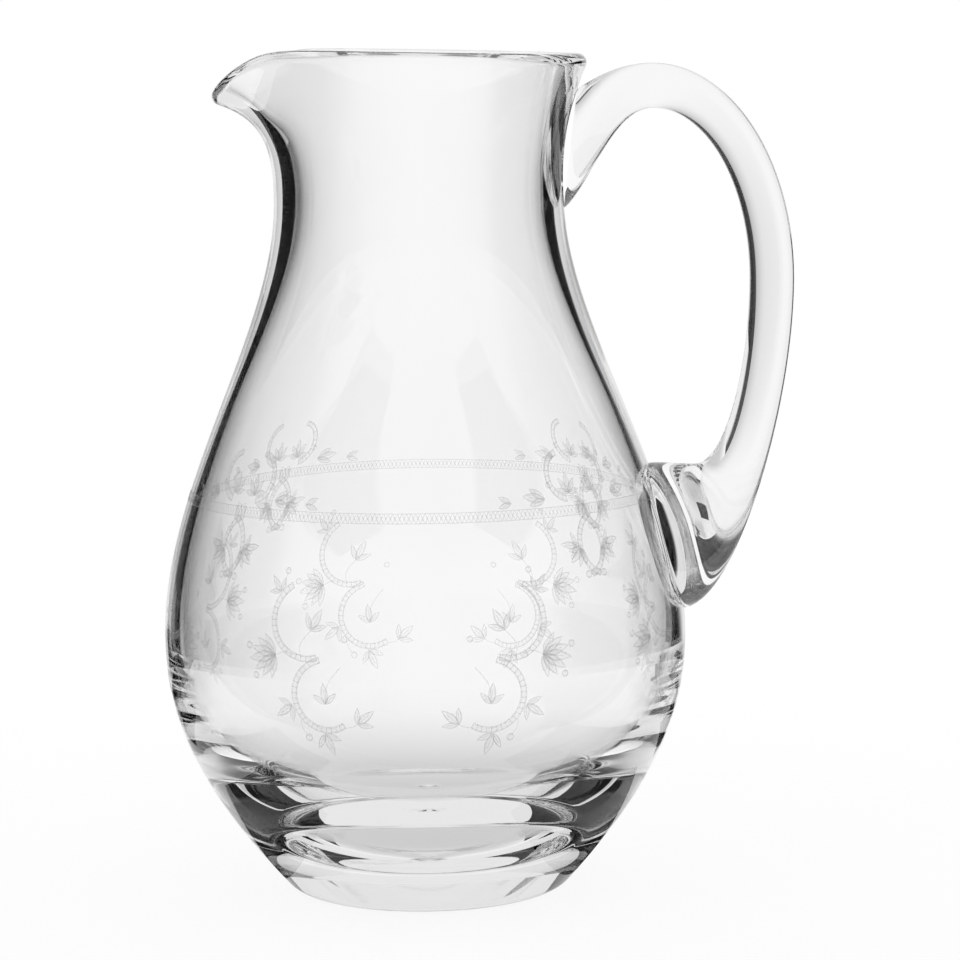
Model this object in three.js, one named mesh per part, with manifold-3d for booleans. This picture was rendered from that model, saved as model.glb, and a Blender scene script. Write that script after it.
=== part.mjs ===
// A pouring jug in clear glass: a blown body with a heavy bowl-shaped foot, a pulled spout and a
// polished rim, and a solid glass handle that was drawn out and laid on against the neck and the belly.
// Millimetres, +Z up. The origin is the centre of the flat foot, the handle points to +X and the spout to -X.

import * as THREE from "three";
import { mergeVertices } from "three/addons/utils/BufferGeometryUtils.js";
import Module from "manifold-3d";

// Outside of the body, from the foot upwards.
const FOOT_RADIUS = 37; // corner of the flat foot, before its edge is rounded
const FOOT_EDGE = 4; // length that the rounded edge takes from each side of that corner
const FOOT_RISE = THREE.MathUtils.degToRad(48); // slope at which the wall leaves the foot
const FOOT_SWEEP = 44.5; // length over which that slope still pulls on the curve
const BELLY_RADIUS = 72;
const BELLY_HEIGHT = 72;
const BELLY_FULLNESS_BELOW = 19; // upright stretch of the belly's curve, towards the foot
const BELLY_FULLNESS_ABOVE = 41.2; // the same towards the neck
const NECK_RADIUS = 39.7;
const NECK_LENGTH = 39.2; // from the narrowest point up to the top of the rim
const NECK_RUN_BELOW = 34.8; // upright stretch of the neck's curve, towards the belly
const NECK_RUN_ABOVE = 6; // the same towards the rim
const RIM_RADIUS = 46.3;
const RIM_HEIGHT = 230.4; // top of the rim on the handle's side
const RIM_FLARE = THREE.MathUtils.degToRad(65); // slope of the wall where it reaches the rim
const RIM_SWEEP = 14.7; // length over which that slope pulls on the curve
const NECK_HEIGHT = RIM_HEIGHT - NECK_LENGTH;

// Thickness of the glass.
const RIM_WALL = 5;
const NECK_WALL = 5.9;
const SHOULDER_WALL = 3.5;
const BELLY_WALL = 3.7;
const FLOOR_WALL = 17.8; // solid glass between the foot and the lowest point of the inside
const FLOOR_SPREAD = 50; // flat stretch of the inside's curve, from the axis outwards
const BOWL_DROP = 26; // upright stretch of the inside's curve, down from the belly

// The spout, pulled out of the rim, and the rim's gentle climb towards it.
const SPOUT_BEARING = 1.5 * Math.PI; // round from -Y by way of +X, so this is -X
const SPOUT_REACH = 10;
const SPOUT_DROP = 10.5;
const SPOUT_SPREAD = THREE.MathUtils.degToRad(26); // how far round the rim the pull is felt
const SPOUT_TROUGH = THREE.MathUtils.degToRad(22); // how far round the rim the drop is felt
const SPOUT_CURL = 3.45; // how late the wall turns out, as a power of the way up to the rim
const SPOUT_DIP = 2.37; // how late it drops, likewise
const SPOUT_ROOT = 0.1; // way up the neck, from 0 to 1, at which the pull begins
const RIM_CLIMB = 2.5;

// The handle, in the upright plane through the axis.
const ROD_THICKNESS = 12.2; // across the rod, seen from the side
const ROD_WIDTH = 11; // across the rod, seen from behind
const ROD_SECTION = 4; // power of the rod's section: 2 is an oval, and more has flatter sides
const SEAT_SECTION = 2; // likewise where the handle is laid on
const FINGER_ROOM = 50.5; // from the neck to the inside of the rod
const CROWN_OFFSET = 24.3; // from the neck to the handle's highest point
const CROWN_RISE = 6.8; // of that point over the upper seat
const BOW_DROP = 58.2; // from that point down to the outermost one
const UPPER_SEAT_DROP = 9.6; // from the top of the rim to the upper seat
const UPPER_SEAT_LENGTH = 32.4;
const UPPER_SEAT_WIDTH = 15;
const LOWER_SEAT_RISE = 6; // from the middle of the belly to the lower seat
const LOWER_SEAT_LENGTH = 40;
const LOWER_SEAT_WIDTH = 42;
const THROAT = 13; // from the wall to the crook where the rod meets the lower seat
const THROAT_SAG = 0.4; // how far the crook dips under the top of the lower seat
const SEAT_CLEARANCE = 0.3; // gap between the handle and the wall that it is laid on
const SEAT_DEPTH = 12; // length of handle that is trimmed off inside the wall's surface
const HANDLE_REACH = NECK_RADIUS + FINGER_ROOM + ROD_THICKNESS;
const CROWN_RADIUS = NECK_RADIUS + CROWN_OFFSET;
const UPPER_SEAT_TOP = RIM_HEIGHT - UPPER_SEAT_DROP;
const CROWN_HEIGHT = UPPER_SEAT_TOP + CROWN_RISE;
const REACH_HEIGHT = CROWN_HEIGHT - BOW_DROP;
const LOWER_SEAT_BOTTOM = BELLY_HEIGHT + LOWER_SEAT_RISE;

// Leads of the handle's two edges: how far each stretch follows the direction in which it sets out.
const OUTER_UPPER_LEAD = new THREE.Vector2(4, 2.6);
const OUTER_CROWN_LEAD = 9;
const OUTER_DROP_LEAD = 35;
const OUTER_HEEL_LEAD = new THREE.Vector2(14.5, 1.5);
const INNER_UPPER_LEAD = new THREE.Vector2(6.6, 5);
const INNER_CROWN_LEAD = 10.5;
const INNER_DROP_LEAD = 24;
const INNER_THROAT_LEAD = 8.5;
const THROAT_LEAD = 4;
const HEEL_TURN = 0.6; // part of the outer edge's last stretch that faces the rod, the rest faces the seat
const HEEL_SPREAD = 3; // how late the heel widens, as a power of the way down

// Fineness of the surfaces.
const BODY_SIDES = 64;
const CURVE_STEPS = 12;
const NECK_STEPS = 12;
const LIP_STEPS = 4;
const FOOT_STEPS = 2;
const ROD_SIDES = 20;
const HANDLE_STEPS = 10;
const WALL_SAMPLES = 200;

const glass = { color: 0xf1f4f3, roughness: 0.04, metalness: 0 };

const wasm = await Module();
wasm.setup();

// Unit vector in the plane of the profile, turned a quarter to the right of the way from a to b.
function rightOf(a, b) {
  return new THREE.Vector2(b.y - a.y, a.x - b.x).normalize();
}

// Outward normals along an open run of points.
function normalsAlong(points) {
  return points.map((point, i) => {
    const before = points[Math.max(i - 1, 0)];
    const after = points[Math.min(i + 1, points.length - 1)];
    return rightOf(before, after);
  });
}

// Thickness of the shoulder's glass: thinnest half way between the belly and the neck.
function shoulderWall(t) {
  const fromHalfWay = 2 * t - 1;
  const end = fromHalfWay < 0 ? BELLY_WALL : NECK_WALL;
  return easedWall(SHOULDER_WALL, end, Math.abs(fromHalfWay));
}

// Thickness of the neck's glass, from the narrowest point to the rim.
function neckWall(t) {
  return easedWall(NECK_WALL, RIM_WALL, t);
}

// Thickness on the way between two others, without a kink at either.
function easedWall(first, last, t) {
  return THREE.MathUtils.lerp(first, last, THREE.MathUtils.smoothstep(t, 0, 1));
}

const risingFoot = new THREE.Vector2(Math.cos(FOOT_RISE), Math.sin(FOOT_RISE));
const footCorner = new THREE.Vector2(FOOT_RADIUS, 0);
const footEdgeTop = footCorner.clone().addScaledVector(risingFoot, FOOT_EDGE);
const belly = new THREE.Vector2(BELLY_RADIUS, BELLY_HEIGHT);
const neck = new THREE.Vector2(NECK_RADIUS, NECK_HEIGHT);
const rimMiddle = new THREE.Vector2(RIM_RADIUS - RIM_WALL / 2, RIM_HEIGHT - RIM_WALL / 2);

const footEdgeCurve = new THREE.QuadraticBezierCurve(
  new THREE.Vector2(FOOT_RADIUS - FOOT_EDGE, 0),
  footCorner,
  footEdgeTop,
);
const bowlCurve = new THREE.CubicBezierCurve(
  footEdgeTop,
  footEdgeTop.clone().addScaledVector(risingFoot, FOOT_SWEEP - FOOT_EDGE),
  new THREE.Vector2(BELLY_RADIUS, BELLY_HEIGHT - BELLY_FULLNESS_BELOW),
  belly,
);
const shoulderCurve = new THREE.CubicBezierCurve(
  belly,
  new THREE.Vector2(BELLY_RADIUS, BELLY_HEIGHT + BELLY_FULLNESS_ABOVE),
  new THREE.Vector2(NECK_RADIUS, NECK_HEIGHT - NECK_RUN_BELOW),
  neck,
);
// Middle of the glass, from the neck to the rim.
const neckMiddleCurve = new THREE.CubicBezierCurve(
  new THREE.Vector2(NECK_RADIUS - NECK_WALL / 2, NECK_HEIGHT),
  new THREE.Vector2(NECK_RADIUS - NECK_WALL / 2, NECK_HEIGHT + NECK_RUN_ABOVE),
  new THREE.Vector2(
    rimMiddle.x - RIM_SWEEP * Math.cos(RIM_FLARE),
    rimMiddle.y - RIM_SWEEP * Math.sin(RIM_FLARE),
  ),
  rimMiddle,
);
const insideCurve = new THREE.CubicBezierCurve(
  new THREE.Vector2(BELLY_RADIUS - BELLY_WALL, BELLY_HEIGHT),
  new THREE.Vector2(BELLY_RADIUS - BELLY_WALL, BELLY_HEIGHT - BOWL_DROP),
  new THREE.Vector2(FLOOR_SPREAD, FLOOR_WALL),
  new THREE.Vector2(0, FLOOR_WALL),
);

// Middle of the neck's glass at one bearing, pulled out and down where the spout is.
function neckMiddle(bearingFromSpout) {
  const pull = Math.exp(-((bearingFromSpout / SPOUT_SPREAD) ** 2));
  const drop = Math.exp(-((bearingFromSpout / SPOUT_TROUGH) ** 2));
  const climb = (1 + Math.cos(bearingFromSpout)) / 2;
  return neckMiddleCurve.getPoints(NECK_STEPS).map((point, i) => {
    const way = i / NECK_STEPS;
    const share = THREE.MathUtils.clamp((way - SPOUT_ROOT) / (1 - SPOUT_ROOT), 0, 1);
    point.x += SPOUT_REACH * pull * share ** SPOUT_CURL;
    point.y += (RIM_CLIMB * climb - SPOUT_DROP * drop) * share ** SPOUT_DIP;
    return point;
  });
}

// Half circle that rounds the rim off, from the outside over the top to the inside.
function lipRound(end, outward) {
  const along = new THREE.Vector2(-outward.y, outward.x);
  const points = [];
  for (let i = 1; i < LIP_STEPS; i += 1) {
    const turn = (Math.PI * i) / LIP_STEPS;
    const point = end.clone();
    point.addScaledVector(outward, (Math.cos(turn) * RIM_WALL) / 2);
    point.addScaledVector(along, (Math.sin(turn) * RIM_WALL) / 2);
    points.push(point);
  }
  return points;
}

// Outside of the body below the neck, from the axis under the foot.
function lowerOutside() {
  return [
    new THREE.Vector2(0, 0),
    ...footEdgeCurve.getPoints(FOOT_STEPS),
    ...bowlCurve.getPoints(CURVE_STEPS).slice(1),
    ...shoulderCurve.getPoints(CURVE_STEPS).slice(1),
  ];
}

// Whole section of the body at one bearing: up the outside, over the rim and down the inside to the axis.
function bodySection(bearingFromSpout) {
  const middle = neckMiddle(bearingFromSpout);
  const outward = normalsAlong(middle);
  const half = middle.map((_, i) => neckWall(i / NECK_STEPS) / 2);
  const outside = middle.map((point, i) => point.clone().addScaledVector(outward[i], half[i]));
  const inside = middle.map((point, i) => point.clone().addScaledVector(outward[i], -half[i]));
  const shoulder = shoulderCurve.getPoints(CURVE_STEPS);
  const shoulderOutward = shoulder.map((_, i) => {
    const tangent = shoulderCurve.getTangent(i / CURVE_STEPS);
    return new THREE.Vector2(tangent.y, -tangent.x);
  });
  const shoulderInside = shoulder.map((point, i) =>
    point.clone().addScaledVector(shoulderOutward[i], -shoulderWall(i / CURVE_STEPS)),
  );
  return [
    ...lowerOutside(),
    ...outside.slice(1),
    ...lipRound(middle.at(-1), outward.at(-1)),
    ...inside.slice(1).reverse(),
    ...shoulderInside.slice(1).reverse(),
    ...insideCurve.getPoints(CURVE_STEPS),
  ];
}

// Revolved body whose section may differ from bearing to bearing.
function revolve(sectionAt) {
  const sample = sectionAt(0);
  const lathe = new THREE.LatheGeometry(sample, BODY_SIDES);
  const position = lathe.getAttribute("position");
  for (let side = 0; side <= BODY_SIDES; side += 1) {
    const bearing = (2 * Math.PI * (side % BODY_SIDES)) / BODY_SIDES;
    const fromSpout = Math.abs(bearing - SPOUT_BEARING);
    sectionAt(Math.min(fromSpout, 2 * Math.PI - fromSpout)).forEach((point, i) => {
      const index = side * sample.length + i;
      position.setXYZ(index, point.x * Math.sin(bearing), point.y, point.x * Math.cos(bearing));
    });
  }
  lathe.rotateX(Math.PI / 2);
  return bare(lathe);
}

// Geometry with nothing but shared corner points.
function bare(geometry) {
  geometry.deleteAttribute("normal");
  geometry.deleteAttribute("uv");
  return mergeVertices(geometry);
}

function toSolid(geometry) {
  const vertProperties = new Float32Array(geometry.getAttribute("position").array);
  const triVerts = new Uint32Array(geometry.getIndex().array);
  return new wasm.Manifold(new wasm.Mesh({ numProp: 3, vertProperties, triVerts }));
}

function toGeometry(solid) {
  const mesh = solid.getMesh();
  const geometry = new THREE.BufferGeometry();
  geometry.setAttribute("position", new THREE.BufferAttribute(mesh.vertProperties, 3));
  geometry.setIndex(new THREE.BufferAttribute(mesh.triVerts, 1));
  return geometry;
}

// Skin over a row of rings with as many points each, closed at both ends.
function loft(rings) {
  const sides = rings[0].length;
  const corners = rings.flat();
  const faces = [];
  for (let ring = 0; ring + 1 < rings.length; ring += 1) {
    for (let i = 0; i < sides; i += 1) {
      const next = (i + 1) % sides;
      const low = ring * sides;
      const high = low + sides;
      faces.push(low + i, low + next, high + next);
      faces.push(low + i, high + next, high + i);
    }
  }
  const last = (rings.length - 1) * sides;
  for (let i = 1; i + 1 < sides; i += 1) {
    faces.push(0, i + 1, i);
    faces.push(last, last + i, last + i + 1);
  }
  const geometry = new THREE.BufferGeometry().setFromPoints(corners);
  geometry.setIndex(faces);
  return geometry;
}

// The body's filled outside, a clearance larger all round, which trims the handle's ends.
function seatCutter() {
  const middle = neckMiddle(Math.PI);
  const outward = normalsAlong(middle);
  const neckOutside = middle.map((point, i) =>
    point.clone().addScaledVector(outward[i], neckWall(i / NECK_STEPS) / 2),
  );
  const outside = [...lowerOutside().slice(1), ...neckOutside.slice(1)];
  const away = normalsAlong(outside);
  const larger = outside.map((point, i) => point.clone().addScaledVector(away[i], SEAT_CLEARANCE));
  const section = [
    new THREE.Vector2(0, larger[0].y),
    ...larger,
    new THREE.Vector2(0, larger.at(-1).y),
  ];
  return revolve(() => section.map((point) => point.clone()));
}

// Point of the wall's outside at a height, on the handle's side.
function onWall(height) {
  const wall = shoulderCurve.getPoints(WALL_SAMPLES);
  neckMiddleCurve.getPoints(WALL_SAMPLES).forEach((point, i) => {
    const half = neckWall(i / WALL_SAMPLES) / 2;
    const tangent = neckMiddleCurve.getTangent(i / WALL_SAMPLES);
    wall.push(new THREE.Vector2(point.x + tangent.y * half, point.y - tangent.x * half));
  });
  const above = wall.findIndex((point) => point.y >= height);
  const share = (height - wall[above - 1].y) / (wall[above].y - wall[above - 1].y);
  return wall[above - 1].clone().lerp(wall[above], share);
}

// The handle's outer edge in three stretches: off the neck to the crown, over the bow, down to the heel.
function outerEdge() {
  const start = onWall(UPPER_SEAT_TOP);
  const crown = new THREE.Vector2(CROWN_RADIUS, CROWN_HEIGHT);
  const reach = new THREE.Vector2(HANDLE_REACH, REACH_HEIGHT);
  const heel = onWall(LOWER_SEAT_BOTTOM);
  return [
    new THREE.CubicBezierCurve(
      start,
      start.clone().add(OUTER_UPPER_LEAD),
      new THREE.Vector2(crown.x - OUTER_CROWN_LEAD, crown.y),
      crown,
    ),
    quarterBow(crown, reach),
    new THREE.CubicBezierCurve(
      reach,
      new THREE.Vector2(reach.x, reach.y - OUTER_DROP_LEAD),
      heel.clone().add(OUTER_HEEL_LEAD),
      heel,
    ),
  ];
}

// The inner edge in the same stretches, with the crook and the top of the lower seat as a fourth.
function innerEdge() {
  const start = onWall(UPPER_SEAT_TOP - UPPER_SEAT_LENGTH);
  const crown = new THREE.Vector2(CROWN_RADIUS, CROWN_HEIGHT - ROD_THICKNESS);
  const reach = new THREE.Vector2(HANDLE_REACH - ROD_THICKNESS, REACH_HEIGHT);
  const seat = onWall(LOWER_SEAT_BOTTOM + LOWER_SEAT_LENGTH);
  const throat = new THREE.Vector2(seat.x + THROAT, seat.y - THROAT_SAG);
  return [
    new THREE.CubicBezierCurve(
      start,
      start.clone().add(INNER_UPPER_LEAD),
      new THREE.Vector2(crown.x - INNER_CROWN_LEAD, crown.y),
      crown,
    ),
    quarterBow(crown, reach),
    new THREE.CubicBezierCurve(
      reach,
      new THREE.Vector2(reach.x, reach.y - INNER_DROP_LEAD),
      new THREE.Vector2(throat.x + INNER_THROAT_LEAD, throat.y + THROAT_SAG),
      throat,
    ),
    new THREE.CubicBezierCurve(
      throat,
      new THREE.Vector2(throat.x - THROAT_LEAD, throat.y),
      new THREE.Vector2(seat.x + THROAT_LEAD, seat.y + THROAT_SAG),
      seat,
    ),
  ];
}

// Quarter of an ellipse from a crown, level there, to an outermost point, upright there.
function quarterBow(crown, reach) {
  const width = reach.x - crown.x;
  const height = crown.y - reach.y;
  return new THREE.EllipseCurve(crown.x, reach.y, width, height, Math.PI / 2, 0, true);
}

// Section across the handle, between a point of the inner edge and one of the outer edge.
function section(inner, outer, width, power) {
  const rounded = (share) => Math.sign(share) * Math.abs(share) ** (2 / power);
  const points = [];
  for (let i = 0; i < ROD_SIDES; i += 1) {
    const turn = (2 * Math.PI * i) / ROD_SIDES;
    const point = inner.clone().lerp(outer, (1 + rounded(Math.cos(turn))) / 2);
    points.push(new THREE.Vector3(point.x, (-rounded(Math.sin(turn)) * width) / 2, point.y));
  }
  return points;
}

function handleRings() {
  const outer = outerEdge();
  const inner = innerEdge();
  const inwards = new THREE.Vector2(-SEAT_DEPTH, 0);
  const rings = [];
  const addRing = (...shape) => rings.push(section(...shape));
  const upperEnd = [inner[0].getPoint(0).add(inwards), outer[0].getPoint(0).add(inwards)];
  const lowerEnd = [inner[3].getPoint(1).add(inwards), outer[2].getPoint(1).add(inwards)];
  addRing(...upperEnd, UPPER_SEAT_WIDTH, SEAT_SECTION);
  for (let i = 0; i < HANDLE_STEPS; i += 1) {
    const way = i / HANDLE_STEPS;
    const eased = THREE.MathUtils.smoothstep(way, 0, 1);
    const width = THREE.MathUtils.lerp(UPPER_SEAT_WIDTH, ROD_WIDTH, eased);
    const power = THREE.MathUtils.lerp(SEAT_SECTION, ROD_SECTION, eased);
    addRing(inner[0].getPoint(way), outer[0].getPoint(way), width, power);
  }
  for (let i = 0; i < HANDLE_STEPS; i += 1) {
    const way = i / HANDLE_STEPS;
    addRing(inner[1].getPoint(way), outer[1].getPoint(way), ROD_WIDTH, ROD_SECTION);
  }
  for (let i = 0; i < HANDLE_STEPS; i += 1) {
    const way = i / HANDLE_STEPS;
    const down = way * HEEL_TURN;
    addRing(inner[2].getPoint(way), outer[2].getPoint(down), heelWidth(down), heelSection(down));
  }
  for (let i = 0; i <= HANDLE_STEPS; i += 1) {
    const way = i / HANDLE_STEPS;
    const down = THREE.MathUtils.lerp(HEEL_TURN, 1, way);
    addRing(inner[3].getPoint(way), outer[2].getPoint(down), heelWidth(down), heelSection(down));
  }
  addRing(...lowerEnd, LOWER_SEAT_WIDTH, SEAT_SECTION);
  return rings;
}

// Width of the handle on its way down to the lower seat, where it spreads.
function heelWidth(way) {
  return THREE.MathUtils.lerp(ROD_WIDTH, LOWER_SEAT_WIDTH, way ** HEEL_SPREAD);
}

// Power of the handle's section on the same way.
function heelSection(way) {
  return THREE.MathUtils.lerp(ROD_SECTION, SEAT_SECTION, way);
}

function namedMesh(name, geometry) {
  geometry.computeVertexNormals();
  const mesh = new THREE.Mesh(geometry, new THREE.MeshStandardMaterial(glass));
  mesh.name = name;
  return mesh;
}

const jug = new THREE.Group();
jug.add(namedMesh("blown_body", revolve(bodySection)));
const handle = toSolid(loft(handleRings())).subtract(toSolid(seatCutter()));
jug.add(namedMesh("applied_handle", toGeometry(handle)));

export default jug;
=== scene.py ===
import math

import bmesh
import bpy
import numpy as np
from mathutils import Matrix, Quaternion, Vector


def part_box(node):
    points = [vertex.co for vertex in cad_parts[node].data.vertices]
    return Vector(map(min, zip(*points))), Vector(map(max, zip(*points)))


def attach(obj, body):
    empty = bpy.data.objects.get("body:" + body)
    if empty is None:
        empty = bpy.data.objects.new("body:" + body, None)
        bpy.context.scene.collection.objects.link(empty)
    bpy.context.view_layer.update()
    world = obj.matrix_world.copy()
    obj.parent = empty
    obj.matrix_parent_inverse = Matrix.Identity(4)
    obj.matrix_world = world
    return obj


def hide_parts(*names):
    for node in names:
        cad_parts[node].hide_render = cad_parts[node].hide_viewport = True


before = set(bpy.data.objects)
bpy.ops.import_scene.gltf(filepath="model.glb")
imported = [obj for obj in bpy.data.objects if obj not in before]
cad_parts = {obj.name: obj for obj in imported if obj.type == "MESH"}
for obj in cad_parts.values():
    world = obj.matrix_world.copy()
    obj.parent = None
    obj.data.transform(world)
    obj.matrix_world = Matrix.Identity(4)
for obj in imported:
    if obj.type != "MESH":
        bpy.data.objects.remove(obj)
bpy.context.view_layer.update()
BODY_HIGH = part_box("blown_body")[1]
HANDLE_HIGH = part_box("applied_handle")[1]

bl_info = {
    "name": "Handled glass jug",
    "version": (1, 0, 0),
    "blender": (4, 5, 0),
    "location": "View3D > Sidebar > Jug",
    "description": "A blown glass jug with an applied handle, fine engraving and a bright studio",
    "category": "Add Mesh",
}

# Fineness of the surfaces.
BODY_SIDES = 256
PONTIL_STEPS = 7
LEVEL_STEPS = 5
UNDERSIDE_STEPS = PONTIL_STEPS + LEVEL_STEPS
FOOT_STEPS = 8
BOWL_STEPS = 64
SHOULDER_STEPS = 64
NECK_STEPS = 48
LIP_STEPS = 16
FLOOR_STEPS = 66
ROD_SIDES = 72
HANDLE_STEPS = 32
CAP_STEPS = 8
LATTICE_STEPS = 6
STROKE_STEP = 0.0006
LEAF_STEPS = 10
BERRY_STEPS = 16
DISC_SIDES = 96

# Bearings run from -Y by way of +X, where the handle is, to the spout at -X.
SPOUT_BEARING = 1.5 * math.pi
# Least sine of the bearings at which the handle's seats lie.
SEAT_SIDE = 0.5
# Swells of hand-blown glass: waves round the body, turn to the metre of height, start and share.
SWELLS = ((2, 26.0, 0.7, 0.5), (5, -41.0, 2.1, 0.3), (9, 17.0, 4.4, 0.2))
# Stretch and detail of the waves in the glass, and of the grain in the engraving.
WAVE_STRETCH, WAVE_DETAIL = (1.0, 1.0, 0.35), 1.5
GRAIN_STRETCH, GRAIN_DETAIL = (1.0, 1.0, 1.0), 2.0

# Brightness of the surround through the glass, by azimuth in degrees from +Y towards -X.
SURROUND_STOPS = (
    (-180, 0.3), (-172, 0.12), (-165, 0.4), (-155, 0.75), (-135, 0.95), (-115, 0.75), (-106, 0.4),
    (-99, 0.04), (-94, 0.01), (-84, 0.01), (-78, 0.4), (-71, 0.55), (-65, 0.4), (-60, 0.04), (-57, 0.01),
    (-10, 0.01), (-5, 0.5), (0, 0.9), (5, 0.5), (10, 0.01), (59, 0.01), (64, 0.45), (72, 0.78), (90, 0.95),
    (108, 0.78), (117, 0.45), (125, 0.02), (148, 0.02), (170, 0.3),
)
# Brightness of the ground through the glass, with two dark strips.
GROUND_STOPS = (
    (-180, 0.95), (-36, 0.95), (-30, 0.03), (-12, 0.03), (-7, 0.95), (7, 0.95), (12, 0.03), (30, 0.03),
    (36, 0.95), (180, 0.95),
)
# Brightness of the surround as the glass mirrors it: soft light in front, dark sides.
MIRRORED_STOPS = (
    (-180, 0.95), (-150, 0.85), (-131, 0.68), (-121, 0.55), (-115, 0.4), (-110, 0.1), (-106, 0.01),
    (-34, 0.005), (-30, 0.03), (-24, 0.6), (0, 0.95), (26, 0.6), (31, 0.03), (35, 0.005), (106, 0.01),
    (112, 0.1), (117, 0.4), (122, 0.55), (131, 0.68), (150, 0.85), (180, 0.95),
)
# Brightness of the lit panel behind the jug, from left to right in metres.
PANEL_STOPS = (
    (-0.185, 0.05), (-0.17, 0.2), (-0.15, 0.45), (-0.13, 0.65), (-0.11, 0.86), (-0.09, 0.94),
    (-0.07, 0.97), (-0.01, 0.97), (0.03, 1.0), (0.07, 1.0), (0.09, 0.93), (0.11, 0.78), (0.13, 0.65),
    (0.15, 0.55), (0.165, 0.42),
)
# Height over which the panel widens at its right, and by how much.
PANEL_NOTCH = (0.15, 0.04)
# Share of that brightness on the paper, by the distance from the jug's axis: a painted shadow of the jug,
# darkest round its foot.
PAINTED_PAPER_SHADOW_STOPS = (
    (0.0, 0.57), (0.035, 0.61), (0.06, 0.74), (0.08, 0.82), (0.1, 0.88), (0.13, 0.95), (0.2, 0.99),
    (0.25, 1.0),
)
# Black cards that only the glass shows: how often light is mirrored at least and at most, how far the card
# is turned away from it, and two corners. Flags hang before the panel, and the others lie on the paper.
BOUNCES = 32
ALL_ROUND, GRAZING = 0.0, 0.66
CARDS = (
    ("left_flag", (3, 3), ALL_ROUND, (-0.19, 0.249, 0.05), (-0.09, 0.249, 0.5)),
    ("right_flag", (3, 3), ALL_ROUND, (0.06, 0.249, 0.05), (0.165, 0.249, 0.5)),
    # The two mats on the paper beside the foot are painted shadow: dark sheets that stand in for the jug's
    # shadow there.
    ("left_painted_shadow", (1, BOUNCES), ALL_ROUND, (-0.095, -0.06, 0.0), (-0.042, 0.018, 0.0)),
    ("right_painted_shadow", (1, BOUNCES), ALL_ROUND, (0.042, -0.06, 0.0), (0.1, 0.04, 0.0)),
    ("left_runner", (3, BOUNCES), ALL_ROUND, (-0.21, 0.025, 0.0), (-0.05, 0.09, 0.0)),
    ("right_runner", (3, BOUNCES), ALL_ROUND, (0.045, 0.045, 0.0), (0.22, 0.105, 0.0)),
    ("left_near_strip", (0, 1), GRAZING, (-0.2, 0.065, 0.0002), (-0.127, 0.15, 0.0002)),
    ("left_far_strip", (0, 1), GRAZING, (-0.26, 0.15, 0.0002), (-0.145, 0.248, 0.0002)),
    ("right_near_strip", (0, 1), GRAZING, (0.093, 0.1, 0.0002), (0.135, 0.16, 0.0002)),
    ("right_middle_strip", (0, 1), GRAZING, (0.101, 0.16, 0.0002), (0.14, 0.21, 0.0002)),
    ("right_far_strip", (0, 1), GRAZING, (0.113, 0.21, 0.0002), (0.175, 0.248, 0.0002)),
)

# Garland of one half panel, in millimetres aside from the panel's edge and down from the band.
# Stems: centre, radius at the start and at the end, bearing at the start and at the end in degrees.
STEMS = (
    ((-4.0, 8.2), 8.6, 7.6, 76, -72),
    ((29.0, 25.4), 10.4, 9.6, 118, 286),
    ((34.6, 45.2), 10.2, 8.4, 102, 300),
    ((5.0, -8.4), 6.6, 5.4, -86, 78),
)
LEAST_STEM_STEPS = 8
# Sprigs: foot, bearing in degrees, leaves, spread in degrees, length of the longest leaf.
SPRIGS = (
    ((5.4, 8.0), 10, 3, 120, 5.4), ((-3.6, 8.8), 215, 5, 130, 5.6), ((20.4, 18.0), 128, 3, 110, 5.0),
    ((19.6, 34.6), 190, 7, 135, 8.6), ((24.2, 47.6), 214, 3, 110, 6.0), ((33.2, 55.0), 290, 3, 100, 6.2),
    ((42.4, 52.0), 40, 3, 95, 6.0), ((30.0, 27.6), 62, 3, 90, 6.4), ((34.0, 46.8), 96, 3, 100, 5.6),
    ((4.4, -3.2), 92, 5, 150, 5.6), ((13.4, -2.2), 8, 3, 46, 7.4), ((24.6, -1.8), 4, 2, 40, 5.6),
)
# Leaves: power that moves the widest place, least breadth, points of the rib, loss of length aside.
LEAF_POWER = 0.85
LEAF_TIP = 0.02
LEAF_RIB = slice(1, -3)
LEAF_FALL = 0.5
# Berries: middle and radius, and the least square of the half breadth.
BERRIES = (
    ((2.8, 15.4), 0.95), ((11.0, 32.6), 0.9), ((13.2, 40.4), 0.9), ((28.4, 56.2), 0.95),
    ((39.4, 29.6), 0.8), ((22.0, 12.6), 0.8), ((11.4, -5.6), 0.7),
)
BERRY_END = 0.01
# Tendrils that lead from a stem to a sprig or berry: start, bend and end.
TENDRILS = (
    ((-1.8, 15.2), (0.6, 15.9), (2.0, 15.3)), ((21.8, 16.6), (21.4, 14.6), (22.0, 13.4)),
    ((19.6, 34.6), (22.6, 33.2), (25.0, 34.2)), ((26.4, 51.4), (26.6, 53.6), (27.8, 55.4)),
    ((31.6, 53.4), (32.4, 54.2), (33.2, 55.0)), ((39.6, 53.0), (41.2, 52.8), (42.4, 52.0)),
    ((27.2, 34.8), (26.6, 31.2), (30.0, 27.6)), ((38.2, 37.0), (34.2, 41.6), (34.0, 46.8)),
)


def length(name, description, default):
    """Return a property for a length in metres."""
    return bpy.props.FloatProperty(
        name=name, description=description, default=default, unit="LENGTH", precision=5
    )


def angle(name, description, degrees):
    """Return a property for an angle, given in degrees."""
    return bpy.props.FloatProperty(
        name=name, description=description, default=math.radians(degrees), subtype="ANGLE", precision=3
    )


def amount(name, description, default):
    """Return a property for a plain number."""
    return bpy.props.FloatProperty(name=name, description=description, default=default, precision=4)


def count(name, description, default):
    """Return a property for a whole number."""
    return bpy.props.IntProperty(name=name, description=description, default=default, min=1)


def lead(name, description, default):
    """Return a property for a run aside and up, in metres."""
    return bpy.props.FloatVectorProperty(
        name=name, description=description, default=default, size=2, unit="LENGTH", precision=5
    )


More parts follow.
